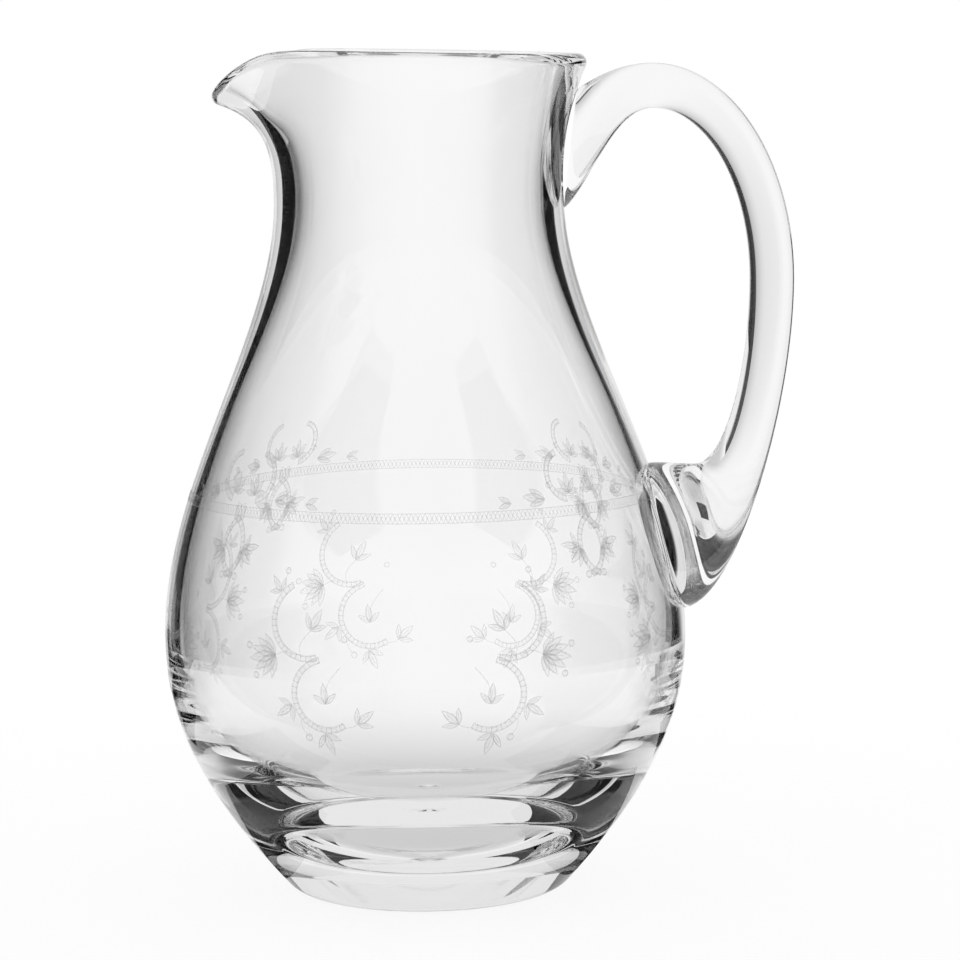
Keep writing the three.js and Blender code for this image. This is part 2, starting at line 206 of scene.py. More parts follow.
def grey(name, description, level):
    """Return a property for a colour that starts as a grey."""
    colour = (level, level, level, 1.0)
    return bpy.props.FloatVectorProperty(
        name=name, description=description, default=colour, size=4, subtype="COLOR", min=0.0, max=1.0
    )


class JugBodySizes(bpy.types.PropertyGroup):
    """Sizes of the blown body."""

    foot_radius: length("Foot radius", "Corner of the flat foot before it is rounded", 0.037)
    foot_edge: length("Foot edge", "What rounding takes from each side of it", 0.004)
    foot_rise: angle("Foot rise", "Slope at which the wall leaves the foot", 48)
    foot_sweep: length("Foot sweep", "Pull of that slope on the curve", 0.0445)
    pontil_radius: length("Pontil radius", "Dimple that the iron leaves under the foot", 0.0045)
    pontil_depth: length("Pontil depth", "Depth of that dimple", 0.0014)
    belly_radius: length("Belly radius", "Widest part of the body", BODY_HIGH.y)
    belly_height: length("Belly height", "Height of the widest part", 0.072)
    belly_below: length("Fullness below", "Upright run below the belly", 0.019)
    belly_above: length("Fullness above", "Upright run above the belly", 0.0412)
    neck_radius: length("Neck radius", "Narrowest part of the body", 0.0397)
    neck_length: length("Neck length", "From the narrowest part up to the rim", 0.0392)
    neck_below: length("Neck run below", "Upright run below the neck", 0.0348)
    neck_above: length("Neck run above", "Upright run above the neck", 0.006)
    rim_radius: length("Rim radius", "Outside of the rim away from the spout", 0.0463)
    rim_height: length("Rim height", "Top of the rim on the handle's side", 0.2304)
    rim_flare: angle("Rim flare", "Slope of the wall at the rim", 65)
    rim_sweep: length("Rim sweep", "Pull of that slope on the curve", 0.0147)
    rim_climb: length("Rim climb", "Rise of the rim towards the spout", 0.0025)
    rim_wall: length("Rim wall", "Wall at the rim", 0.005)
    neck_wall: length("Neck wall", "Wall at the neck", 0.0059)
    shoulder_wall: length("Shoulder wall", "Wall half way up the shoulder", 0.0035)
    belly_wall: length("Belly wall", "Wall at the belly", 0.0037)
    floor_wall: length("Floor wall", "Solid glass under the inside", 0.0178)
    floor_spread: length("Floor spread", "Level run of the inside's floor", 0.05)
    bowl_drop: length("Bowl drop", "Upright run of the inside below the belly", 0.026)
    spout_reach: length("Spout reach", "How far the spout is pulled out", 0.010)
    spout_drop: length("Spout drop", "How far the spout is pulled down", 0.0105)
    spout_spread: angle("Spout spread", "How far round the rim the pull is felt", 26)
    spout_trough: angle("Spout trough", "How far round the rim the drop is felt", 22)
    spout_curl: amount("Spout curl", "How late the wall turns out, as a power", 3.45)
    spout_dip: amount("Spout dip", "How late the wall drops, as a power", 2.37)
    spout_root: amount("Spout root", "Way up the neck at which the pull begins", 0.1)
    ripple: length("Ripple", "Unevenness that blowing leaves inside", 0.00009)


class JugHandleSizes(bpy.types.PropertyGroup):
    """Sizes of the applied handle."""

    rod_thickness: length("Rod thickness", "Across the rod, seen from the side", 0.0122)
    rod_width: length("Rod width", "Across the rod, seen from behind", 0.011)
    rod_section: amount("Rod section", "Power of the rod's section, an oval at 2", 4.0)
    seat_section: amount("Seat section", "Power of the section at the seats", 2.0)
    crown_offset: length("Crown offset", "From the neck to the highest point", 0.0243)
    bow_drop: length("Bow drop", "From the highest point down to the outermost one", 0.0582)
    reach: length("Reach", "Outermost point of the rod", HANDLE_HIGH.x)
    crown_height: length("Crown height", "Highest point of the rod", HANDLE_HIGH.z)
    upper_seat_drop: length("Upper seat drop", "From the rim to the upper seat", 0.0096)
    upper_seat_length: length("Upper seat length", "Height of the tongue on the neck", 0.0324)
    upper_seat_width: length("Upper seat width", "Width of the tongue on the neck", 0.015)
    lower_seat_rise: length("Lower seat rise", "From the widest part of the body to the heel", 0.006)
    lower_seat_length: length("Lower seat length", "Height of the heel on the belly", 0.040)
    lower_seat_width: length("Lower seat width", "Width of the heel on the belly", 0.042)
    throat: length("Throat", "From the wall to the crook above the heel", 0.013)
    throat_sag: length("Throat sag", "Dip of the crook under the top of the heel", 0.0004)
    outer_upper_lead: lead("Outer upper lead", "First run of the outer edge", (0.004, 0.0026))
    outer_crown_lead: length("Outer crown lead", "Level run of the outer edge at the crown", 0.009)
    outer_drop_lead: length("Outer drop lead", "Upright run of the outer edge", 0.035)
    outer_heel_lead: lead("Outer heel lead", "Last run of the outer edge", (0.0145, 0.0015))
    inner_upper_lead: lead("Inner upper lead", "First run of the inner edge", (0.0066, 0.005))
    inner_crown_lead: length("Inner crown lead", "Level run of the inner edge under the crown", 0.0105)
    inner_drop_lead: length("Inner drop lead", "Upright run of the inner edge", 0.024)
    inner_throat_lead: length("Inner throat lead", "Level run of the inner edge into the crook", 0.0085)
    throat_lead: length("Throat lead", "Level run out of the crook on to the wall", 0.004)
    heel_turn: amount("Heel turn", "Part of the outer edge's last stretch that faces the rod", 0.6)
    heel_spread: amount("Heel spread", "How late the heel widens, as a power", 3.0)
    fused_depth: length("Fused depth", "How deep the handle's skin sinks into the wall", 0.0003)
    core_depth: length("Core depth", "How deep the end faces sink into the wall", 0.0006)
    fused_share: amount("Fused share", "Part of each seat in which the glass is one", 0.97)


class JugEngravingSizes(bpy.types.PropertyGroup):
    """Sizes of the engraved ornament."""

    panels: count("Panels", "Panels round the body, each of two mirrored garlands", 4)
    first_edge: angle("First edge", "Bearing of the edge between two panels", 45)
    band_height: length("Band height", "Middle of the lattice band", 0.1112)
    band_width: length("Band width", "Width of the lattice band", 0.0025)
    lattice: count("Lattice", "Crossings round the lattice band", 168)
    line_width: length("Line width", "Width of an engraved line", 0.00022)
    stem_width: length("Stem width", "Width of a stem between its two lines", 0.0016)
    rung_gap: length("Rung gap", "Between the cuts across a stem", 0.0016)
    leaf_width: amount("Leaf width", "Width of a leaf as a part of its length", 0.34)
    line_relief: length("Line relief", "Thickness of a line's matt skin", 0.00010)
    matt_relief: length("Matt relief", "Thickness of a leaf's matt skin", 0.00005)
    scale: length("Scale", "Size of one unit of the garland", 0.001)
    radius: length("Radius", "Radius at which the garland is drawn", 0.071)


class JugGlassLook(bpy.types.PropertyGroup):
    """Colours and optics of the glass."""

    tint: grey("Tint", "Colour of the clear glass", 0.99)
    streak: grey("Streak", "Colour of the faint streaks in the glass", 0.978)
    rod_tint: grey("Rod tint", "Colour of the handle's solid glass", 0.945)
    rod_streak: grey("Rod streak", "Colour of the faint streaks in the handle", 0.925)
    index: amount("Index", "Refractive index of soda-lime glass", 1.52)
    wave: length("Wave", "Height of the waves of fire polishing", 0.00002)
    wave_scale: amount("Wave scale", "Waves to the metre", 46.0)
    cut: grey("Cut", "Colour of an engraved line", 0.3)
    cut_cover: amount("Cut cover", "How much of an engraved line is matt", 0.1)
    cut_clear: amount("Cut clear", "How much light an engraved line lets through", 0.5)
    matt: grey("Matt", "Colour of a matt leaf", 0.9)
    matt_cover: amount("Matt cover", "How much of a matt leaf is matt", 0.06)
    matt_clear: amount("Matt clear", "How much light a matt leaf lets through", 1.0)
    slant_start: amount("Slant start", "Slant at which the cuts begin to show more", 0.3)
    slant_end: amount("Slant end", "Slant at which they show most", 0.7)
    slant_gain: amount("Slant gain", "How much more they show there", 2.4)
    cut_roughness: amount("Cut roughness", "Roughness of the engraving", 0.45)
    grain: amount("Grain", "Unevenness of the engraving", 0.25)
    grain_scale: amount("Grain scale", "Grains to the metre", 2600.0)


class JugStudio(bpy.types.PropertyGroup):
    """Floor, light and camera of the studio."""

    paper: grey("Paper", "Colour of the floor and the background", 1.0)
    floor_drop: length("Floor drop", "Gap between the foot and the floor", 0.0003)
    floor_white: length("White floor", "Radius where the floor begins to fade", 0.12)
    floor_graded: length("Graded floor", "The same radius as the glass shows it", 0.27)
    floor_edge: length("Floor edge", "Radius at which the floor has faded out", 0.36)
    floor_shade: amount("Floor shade", "Share of its light that a shadow takes", 0.1)
    # As glass shows it, the paper glows with painted light from the lit panel behind the jug, dimmest at
    # the paper's sides.
    paper_least_painted_light: amount("Dimmest paper", "Brightness of the paper's sides, as glass shows them", 0.65)
    paper_start: length("Paper start", "Where the paper is graded in full", 0.05)
    lamp_level: amount("Lamp level", "Brightness of the world as a light", 0.9)
    panel_distance: length("Panel distance", "From the jug's axis to the lit panel behind it", 0.25)
    panel_mirrored: grey("Mirrored panel", "Colour of the panel in mirrored light", 0.82)
    panel_height: length("Panel height", "Top edge of the panel", 0.5)
    surround_radius: length("Surround radius", "From the jug's axis to the surround", 1.0)
    surround_height: length("Surround height", "Top edge of the surround", 1.2)
    ceiling: amount("Ceiling", "Brightness overhead, as glass shows it", 0.8)
    card_black: amount("Card black", "Brightness of a black card", 0.01)
    camera_distance: length("Camera distance", "Level distance from axis to camera", 1.0649)
    camera_height: length("Camera height", "Height of the camera over the floor", 0.2397)
    camera_turn: angle("Camera turn", "Bearing of the camera round the jug", 4)
    camera_roll: angle("Camera roll", "Lean of the camera to its right", 0.77)
    aim_aside: length("Aim aside", "Middle of the picture, right of the axis", 0.0157)
    aim_height: length("Aim height", "Middle of the picture, over the floor", 0.1135)
    focal_length: amount("Focal length", "Focal length of the lens in millimetres", 145.54)


def cubic(start, start_lead, end_lead, end, ways):
    """Return the points of a cubic curve at the given ways along it."""
    t = np.asarray(ways)[:, np.newaxis]
    u = 1.0 - t
    start, start_lead, end_lead, end = np.array((start, start_lead, end_lead, end), dtype=float)
    return u**3 * start + 3 * u**2 * t * start_lead + 3 * u * t**2 * end_lead + t**3 * end


def quarter_bow(crown, reach, ways):
    """Return a quarter of an ellipse, level at the crown and upright at the reach."""
    turn = np.asarray(ways) * math.pi / 2
    aside = crown[0] + (reach[0] - crown[0]) * np.sin(turn)
    height = reach[1] + (crown[1] - reach[1]) * np.cos(turn)
    return np.column_stack((aside, height))


def normals_along(points):
    """Return unit normals to the right of the way along an open run of points."""
    along = np.gradient(points, axis=0)
    along /= np.linalg.norm(along, axis=1, keepdims=True)
    return np.column_stack((along[:, 1], -along[:, 0]))


def blend(first, last, way):
    """Return the value between two others at a way from 0 to 1."""
    return first + (last - first) * way


def eased(way):
    """Return a way from 0 to 1 that starts and stops gently."""
    return way**2 * (3 - 2 * way)


def ways_to(steps):
    """Return evenly spaced ways from 0 to 1."""
    return np.linspace(0.0, 1.0, steps + 1)


def turns_of(steps):
    """Return evenly spaced angles once round."""
    return 2 * math.pi * np.arange(steps) / steps


def sloping(slope):
    """Return the direction that rises outwards at a slope."""
    return np.array((math.cos(slope), math.sin(slope)))


def shoulder(size):
    """Return the body's outside from the belly to the neck."""
    neck_height = size.rim_height - size.neck_length
    return cubic(
        (size.belly_radius, size.belly_height),
        (size.belly_radius, size.belly_height + size.belly_above),
        (size.neck_radius, neck_height - size.neck_below),
        (size.neck_radius, neck_height),
        ways_to(SHOULDER_STEPS),
    )


def lower_outside(size):
    """Return the body's outside from the middle of the foot to the neck."""
    rising = sloping(size.foot_rise)
    corner = np.array((size.foot_radius, 0.0))
    edge_start = np.array((size.foot_radius - size.foot_edge, 0.0))
    edge_end = corner + rising * size.foot_edge
    dimple = ways_to(PONTIL_STEPS)[1:]
    pontil = np.column_stack((size.pontil_radius * dimple, size.pontil_depth * (1 - dimple**2) ** 2))
    radii = blend(size.pontil_radius, edge_start[0], ways_to(LEVEL_STEPS)[1:])
    level = np.column_stack((radii, np.zeros(LEVEL_STEPS)))
    t = ways_to(FOOT_STEPS)[1:, np.newaxis]
    edge = (1 - t) ** 2 * edge_start + 2 * t * (1 - t) * corner + t**2 * edge_end
    bowl = cubic(
        edge_end,
        corner + rising * size.foot_sweep,
        (size.belly_radius, size.belly_height - size.belly_below),
        (size.belly_radius, size.belly_height),
        ways_to(BOWL_STEPS)[1:],
    )
    return np.vstack((pontil, level, edge, bowl, shoulder(size)[1:]))


def shoulder_inside(size):
    """Return the inside of the shoulder, its glass thinnest half way up."""
    from_middle = 2 * ways_to(SHOULDER_STEPS) - 1
    end_wall = np.where(from_middle < 0, size.belly_wall, size.neck_wall)
    wall = blend(size.shoulder_wall, end_wall, eased(np.abs(from_middle)))
    outside = shoulder(size)
    return outside - normals_along(outside) * wall[:, np.newaxis]


def neck_walls(size, from_spout):
    """Return the neck's outside and inside at a bearing, and the end of its middle line and normal."""
    ways = ways_to(NECK_STEPS)
    neck_height = size.rim_height - size.neck_length
    middle_radius = size.neck_radius - size.neck_wall / 2
    rim = np.array((size.rim_radius - size.rim_wall / 2, size.rim_height - size.rim_wall / 2))
    middle = cubic(
        (middle_radius, neck_height),
        (middle_radius, neck_height + size.neck_above),
        rim - sloping(size.rim_flare) * size.rim_sweep,
        rim,
        ways,
    )
    share = np.clip((ways - size.spout_root) / (1 - size.spout_root), 0.0, 1.0)
    pull = size.spout_reach * math.exp(-((from_spout / size.spout_spread) ** 2))
    drop = size.spout_drop * math.exp(-((from_spout / size.spout_trough) ** 2))
    climb = size.rim_climb * (1 + math.cos(from_spout)) / 2
    middle[:, 0] += pull * share**size.spout_curl
    middle[:, 1] += (climb - drop) * share**size.spout_dip
    outward = normals_along(middle)
    half = blend(size.neck_wall, size.rim_wall, eased(ways))[:, np.newaxis] / 2
    return middle + outward * half, middle - outward * half, middle[-1], outward[-1]


def lip(size, end, outward):
    """Return the half circle that rounds the rim off, from the outside over the top."""
    along = np.array((-outward[1], outward[0]))
    turn = math.pi * ways_to(LIP_STEPS)[1:-1, np.newaxis]
    return end + (np.cos(turn) * outward + np.sin(turn) * along) * size.rim_wall / 2


def inside_bowl(size):
    """Return the inside from the belly down to the axis."""
    inside_radius = size.belly_radius - size.belly_wall
    return cubic(
        (inside_radius, size.belly_height),
        (inside_radius, size.belly_height - size.bowl_drop),
        (size.floor_spread, size.floor_wall),
        (0.0, size.floor_wall),
        ways_to(FLOOR_STEPS),
    )


def unevenness(bearing, heights):
    """Return the slow swell of blown glass, from -1 to 1, at a bearing and some heights."""
    return sum(share * np.sin(n * bearing + turn * heights + start) for n, turn, start, share in SWELLS)


def body_section(size, bearing):
    """Return the whole section at a bearing in space, without its two ends on the axis."""
    from_spout = abs(bearing - SPOUT_BEARING)
    from_spout = min(from_spout, 2 * math.pi - from_spout)
    outside, inside, end, outward = neck_walls(size, from_spout)
    inner = np.vstack((inside[::-1], shoulder_inside(size)[-2::-1], inside_bowl(size)[1:-1]))
    near_axis = np.clip(inner[:, 0] / size.neck_radius, 0.0, 1.0)
    near_rim = np.clip((size.rim_height - inner[:, 1]) / size.neck_length, 0.0, 1.0)
    inner[:, 0] += size.ripple * near_axis * near_rim * unevenness(bearing, inner[:, 1])
    line = np.vstack((lower_outside(size), outside[1:], lip(size, end, outward), inner))
    return revolved(line[:, 0], line[:, 1], np.full(len(line), bearing))


def revolved(radius, height, bearing):
    """Return points in space from radii, heights and bearings."""
    return np.column_stack((radius * np.sin(bearing), -radius * np.cos(bearing), height))


def skin(name, rings, first_pole, last_pole):
    """Return an object that covers a row of closed rings and ends in a pole at each end."""
    ring_count, sides, _ = rings.shape
    verts = np.vstack((first_pole, rings.reshape(-1, 3), last_pole))
    top = 1 + (ring_count - 1) * sides
    faces = []
    for side in range(sides):
        after = (side + 1) % sides
        faces.append((0, 1 + after, 1 + side))
        for low in range(1, top, sides):
            faces.append((low + side, low + after, low + sides + after, low + sides + side))
        faces.append((top + side, top + after, len(verts) - 1))
    return closed_object(name, verts, faces)


def new_object(name, verts, faces):
    """Return an object in the scene from corners and faces."""
    mesh = bpy.data.meshes.new(name)
    mesh.from_pydata([tuple(vert) for vert in verts], [], faces)
    piece = bpy.data.objects.new(name, mesh)
    bpy.context.scene.collection.objects.link(piece)
    return piece


def closed_object(name, verts, faces):
    """Return a smooth object with all its faces turned outwards."""
    piece = new_object(name, verts, faces)
    work = bmesh.new()
    work.from_mesh(piece.data)
    bmesh.ops.recalc_face_normals(work, faces=work.faces)
    for face in work.faces:
        face.smooth = True
    work.to_mesh(piece.data)
    work.free()
    return piece


def paint(piece, materials, rows):
    """Give a skin its materials by a table of its sides and rows."""
    for material in materials:
        piece.data.materials.append(material)
    piece.data.polygons.foreach_set("material_index", np.ravel(rows).astype(np.int32))


def wall_line(size):
    """Return the outside of the wall on the handle's side, from the foot to the rim."""
    outside = neck_walls(size, math.pi)[0]
    return np.vstack((lower_outside(size)[UNDERSIDE_STEPS:], outside[1:]))


def on_wall(line, height):
    """Return the point of the wall's outside at a height."""
    return np.array((np.interp(height, line[:, 1], line[:, 0]), height))


def handle_edges(body, size, line):
    """Return the stretches of the handle's outer and inner edge as functions of the way along each."""
    upper = body.rim_height - size.upper_seat_drop
    lower = body.belly_height + size.lower_seat_rise
    crown = np.array((body.neck_radius + size.crown_offset, size.crown_height))
    reach = np.array((size.reach, size.crown_height - size.bow_drop))
    start, heel = on_wall(line, upper), on_wall(line, lower)
    inner_start = on_wall(line, upper - size.upper_seat_length)
    inner_crown = crown - (0.0, size.rod_thickness)
    inner_reach = reach - (size.rod_thickness, 0.0)
    seat = on_wall(line, lower + size.lower_seat_length)
    throat = seat + (size.throat, -size.throat_sag)

    def run(*corners):
        return lambda ways: cubic(*corners, ways)

    outer = (
        run(start, start + np.array(size.outer_upper_lead), crown - (size.outer_crown_lead, 0.0), crown),
        lambda ways: quarter_bow(crown, reach, ways),
        run(reach, reach - (0.0, size.outer_drop_lead), heel + np.array(size.outer_heel_lead), heel),
    )
    into_throat = throat + (size.inner_throat_lead, size.throat_sag)
    inner = (
        run(
            inner_start,
            inner_start + np.array(size.inner_upper_lead),
            inner_crown - (size.inner_crown_lead, 0.0),
            inner_crown,
        ),
        lambda ways: quarter_bow(inner_crown, inner_reach, ways),
        run(inner_reach, inner_reach - (0.0, size.inner_drop_lead), into_throat, throat),
        run(throat, throat - (size.throat_lead, 0.0), seat + (size.throat_lead, size.throat_sag), seat),
    )
    return outer, inner


def rounded(share, power):
    """Return the sine or cosine of a section whose sides get flatter with its power."""
    return np.sign(share) * np.abs(share) ** (2 / power)


def section(inner, outer, width, power):
    """Return a ring across the handle between a point of each edge."""
    turn = turns_of(ROD_SIDES)
    share = (1 + rounded(np.cos(turn), power)) / 2
    aside = blend(inner[0], outer[0], share)
    height = blend(inner[1], outer[1], share)
    return np.column_stack((aside, -rounded(np.sin(turn), power) * width / 2, height))


def pressed(points, line, depth, both_ways):
    """Return points that stay on or outside the wall's surface at a depth, or all lie on it."""
    radius = np.interp(points[:, 2], line[:, 1], line[:, 0]) - depth
    wall = np.sqrt(np.maximum(radius**2 - points[:, 1] ** 2, 0.0))
    moved = points.copy()
    moved[:, 0] = wall if both_ways else np.maximum(points[:, 0], wall)
    return moved


def cap_rings(ring, line, depth):
    """Return rings that close an end of the handle along the wall, and their pole."""
    middle = ring.mean(axis=0)
    shares = ways_to(CAP_STEPS)[:0:-1]
    rings = [pressed(blend(middle, ring, share), line, depth, True) for share in shares]
    return rings, pressed(middle[np.newaxis, :], line, depth, True)


def handle_rings(body, size, line):
    """Return the sections along the handle from the upper seat to the heel."""
    outer, inner = handle_edges(body, size, line)
    ways = ways_to(HANDLE_STEPS)
    before_end = ways[:-1]
    ease = eased(before_end)
    widths = blend(size.upper_seat_width, size.rod_width, ease)
    powers = blend(size.seat_section, size.rod_section, ease)
    along = np.ones(HANDLE_STEPS)

    def on_heel(way):
        width = blend(size.rod_width, size.lower_seat_width, way**size.heel_spread)
        return outer[2](way), width, blend(size.rod_section, size.seat_section, way)

    stretches = (
        (inner[0](before_end), outer[0](before_end), widths, powers),
        (inner[1](before_end), outer[1](before_end), size.rod_width * along, size.rod_section * along),
        (inner[2](before_end), *on_heel(before_end * size.heel_turn)),
        (inner[3](ways), *on_heel(blend(size.heel_turn, 1.0, ways))),
    )
    rows = [row for stretch in stretches for row in zip(*stretch)]
    return [pressed(section(*row), line, size.fused_depth, False) for row in rows]


class Tracery:
    """Engraved strokes as thin closed ribbons that follow the outside of the body."""

    def __init__(self, line, relief):
        self.line = line
        self.relief = relief
        self.slope = np.gradient(line[:, 0], line[:, 1])
        self.verts = []
        self.faces = []

    def stroke(self, path, widths, closed=False):
        """Add a ribbon along a path of bearings and heights, with a width at each of its points."""
        bearing, height = path[:, 0], path[:, 1]
        slope = np.interp(height, self.line[:, 1], self.slope)
        points = revolved(np.interp(height, self.line[:, 1], self.line[:, 0]), height, bearing)
        lean = np.sqrt(1 + slope**2)
        away = revolved(1 / lean, -slope / lean, bearing)
        if closed:
            along = np.roll(points, -1, axis=0) - np.roll(points, 1, axis=0)
        else:
            along = np.gradient(points, axis=0)
        aside = np.cross(away, along)
        aside /= np.linalg.norm(aside, axis=1, keepdims=True)
        half = aside * np.broadcast_to(widths, len(points))[:, np.newaxis] / 2
        rise = away * self.relief / 2
        corners = np.stack((points + half, points + rise, points - half, points - rise), axis=1)
        start = sum(len(block) for block in self.verts)
        self.verts.append(corners.reshape(-1, 3))
        number = len(points)
        for i in range(number if closed else number - 1):
            low = start + 4 * i
            high = start + 4 * ((i + 1) % number)
            for j in range(4):
                after = (j + 1) % 4
                self.faces.append((low + j, low + after, high + after, high + j))
        if not closed:
            last = start + 4 * (number - 1)
            self.faces.append((start + 3, start + 2, start + 1, start))
            self.faces.append((last, last + 1, last + 2, last + 3))

    def object(self, name):
        """Return all the strokes as one object."""
        return closed_object(name, np.vstack(self.verts), self.faces)


class Garland:
    """One half panel of the ornament, drawn into the lines and the matt ground."""

    def __init__(self, lines, ground, size, edge, mirror):
        self.lines = lines
        self.ground = ground
        self.size = size
        self.edge = edge
        self.mirror = mirror
        self.top = size.band_height - size.band_width / 2

    def placed(self, points):
        """Return bearings and heights of points given in the garland's own units."""
        points = np.asarray(points, dtype=float) * self.size.scale
        bearing = self.edge + self.mirror * points[:, 0] / self.size.radius
        lift = np.where(points[:, 1] < 0, self.size.band_width, 0.0)
        return np.column_stack((bearing, self.top + lift - points[:, 1]))

    def line(self, points, closed=False):
        """Engrave one line of even width."""
        self.lines.stroke(self.placed(points), self.size.line_width, closed)

    def stem(self, centre, start_radius, end_radius, start, end):
        """Engrave a curled stem: two lines, short cuts between them and a matt ground."""
        arc = (centre, start_radius, end_radius, start, end)
        span = math.radians(abs(end - start)) * start_radius * self.size.scale
        ways = ways_to(max(LEAST_STEM_STEPS, round(span / STROKE_STEP)))
        half = self.size.stem_width / 2 / self.size.scale
        self.ground.stroke(self.placed(curl(*arc, 0.0, ways)), self.size.stem_width)
        self.line(curl(*arc, half, ways))
        self.line(curl(*arc, -half, ways))
        for way in ways_to(round(span / self.size.rung_gap)):
            self.line(np.vstack([curl(*arc, side, [way]) for side in (-half, half)]))

    def leaf(self, foot, bearing, leaf_length):
        """Engrave a pointed leaf: its outline, its rib and a matt ground."""
        ways = ways_to(LEAF_STEPS)
        heading = np.array((math.cos(bearing), -math.sin(bearing)))
        across = np.array((-heading[1], heading[0]))
        rib = np.asarray(foot) + heading * leaf_length * ways[:, np.newaxis]
        breadth = self.size.leaf_width * leaf_length * np.sin(math.pi * ways**LEAF_POWER)
        side = across * breadth[:, np.newaxis] / 2
        self.ground.stroke(self.placed(rib), np.maximum(breadth, LEAF_TIP) * self.size.scale)
        self.line(np.vstack((rib + side, (rib - side)[-2:0:-1])), closed=True)
        self.line(rib[LEAF_RIB])

    def sprig(self, foot, bearing, leaves, spread, longest):
        """Engrave a fan of leaves, the middle one longest."""
        for share in np.linspace(-0.5, 0.5, leaves):
            turn = math.radians(bearing + spread * share)
            self.leaf(foot, turn, longest * (1 - LEAF_FALL * abs(share)))

    def berry(self, middle, radius):
        """Engrave a small round berry."""
        turn = turns_of(BERRY_STEPS)
        self.line(np.asarray(middle) + radius * np.column_stack((np.cos(turn), np.sin(turn))), closed=True)
        across = np.linspace(-1.0, 1.0, LEAF_STEPS)
        core = np.asarray(middle) + radius * np.column_stack((across, np.zeros(LEAF_STEPS)))
        breadth = 2 * radius * np.sqrt(np.maximum(1 - across**2, BERRY_END))
        self.ground.stroke(self.placed(core), breadth * self.size.scale)

    def draw(self):
        """Engrave the whole half panel."""
        for stem in STEMS:
            self.stem(*stem)
        for sprig in SPRIGS:
            self.sprig(*sprig)
        for berry in BERRIES:
            self.berry(*berry)
        for start, bend, end in TENDRILS:
            self.line(cubic(start, bend, bend, end, ways_to(LEAF_STEPS)))


def curl(centre, start_radius, end_radius, start, end, offset, ways):
    """Return points of an arc whose radius changes on the way, set off to one side."""
    ways = np.asarray(ways)
    turn = np.radians(blend(start, end, ways))
    radius = blend(start_radius, end_radius, ways) + offset
    return np.column_stack((centre[0] + radius * np.cos(turn), centre[1] - radius * np.sin(turn)))


def draw_band(lines, size):
    """Engrave the band: two lines round the body and a lattice between them."""
    steps = size.lattice * LATTICE_STEPS
    zigzag = np.abs(2 * (np.arange(steps) % LATTICE_STEPS / LATTICE_STEPS) - 1) - 0.5
    even = np.full(BODY_SIDES, 0.5)
    for swing in (-even, even, zigzag, -zigzag):
        height = size.band_height + swing * size.band_width
        lines.stroke(np.column_stack((turns_of(len(swing)), height)), size.line_width, closed=True)


